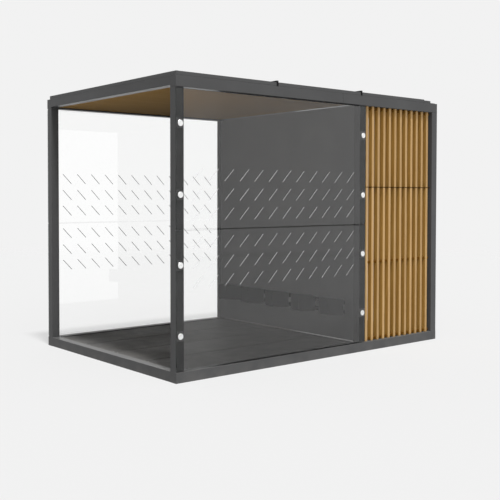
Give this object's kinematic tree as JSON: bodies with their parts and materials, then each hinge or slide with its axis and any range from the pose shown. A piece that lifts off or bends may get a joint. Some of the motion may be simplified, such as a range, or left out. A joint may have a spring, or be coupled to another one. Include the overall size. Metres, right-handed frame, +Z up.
{
  "type": "bike shelter",
  "caption": "Flat-roofed bike shelter: a steel box frame with a glazed bay entered from its open end, a wheel rack on a dark partition, and a smaller bay behind vertical wood slats.",
  "frame": {"origin": "on the ground, in the middle of the shelter's plan", "axes": "+X along the long front side, from the open glazed bay to the slatted bay; +Y from front to back; +Z up"},
  "size_m": [3.284, 2.148, 2.444],
  "materials": {
    "frame_steel": "satin powder coat, anthracite",
    "glass": "clear safety glass with short frosted strokes",
    "fixing_steel": "bright turned steel",
    "glazing_tape": "black foam glazing tape",
    "slat_wood": "oiled larch, planed",
    "ceiling_wood": "brown boarding, satin",
    "joist_wood": "sawn timber",
    "floor_boards": "dark grey deck boards, matt",
    "roof_cover": "black folded sheet",
    "roof_sheet": "satin coated sheet, anthracite",
    "partition_sheet": "smooth dark grey panel",
    "rack_steel": "dark powder coat",
    "spacer_steel": "dark powder coat"
  },
  "bodies": {
    "root": {"base_beam_back": "frame_steel", "base_beam_front": "frame_steel", "base_beam_left": "frame_steel", "base_beam_middle": "frame_steel", "base_beam_right": "frame_steel", "ceiling_main": "ceiling_wood", "ceiling_small": "ceiling_wood", "fixings_back": "fixing_steel", "fixings_front": "fixing_steel", "floor_joists": "joist_wood", "floor_main": "floor_boards", "floor_small": "floor_boards", "glass_back_lower": "glass", "glass_back_upper": "glass", "glass_front_lower": "glass", "glass_front_upper": "glass", "glazing_tape_back": "glazing_tape", "glazing_tape_front": "glazing_tape", "partition_wall": "partition_sheet", "post_back_left": "frame_steel", "post_back_middle": "frame_steel", "post_back_right": "frame_steel", "post_front_left": "frame_steel", "post_front_middle": "frame_steel", "post_front_right": "frame_steel", "roof_cover_left": "roof_cover", "roof_cover_middle": "roof_cover", "roof_cover_right": "frame_steel", "roof_panel_left": "roof_sheet", "roof_panel_middle": "roof_sheet", "roof_panel_right": "roof_sheet", "roof_rafters": "joist_wood", "slat_spacers_back": "spacer_steel", "slat_spacers_front": "spacer_steel", "slat_transom_back": "spacer_steel", "slat_transom_front": "spacer_steel", "slats_back": "slat_wood", "slats_front": "slat_wood", "top_beam_back": "frame_steel", "top_beam_front": "frame_steel", "top_beam_left": "frame_steel", "top_beam_middle": "frame_steel", "top_beam_right": "frame_steel", "wheel_rack_cheeks": "rack_steel", "wheel_rack_rails": "rack_steel"}
  },
  "joints": []
}
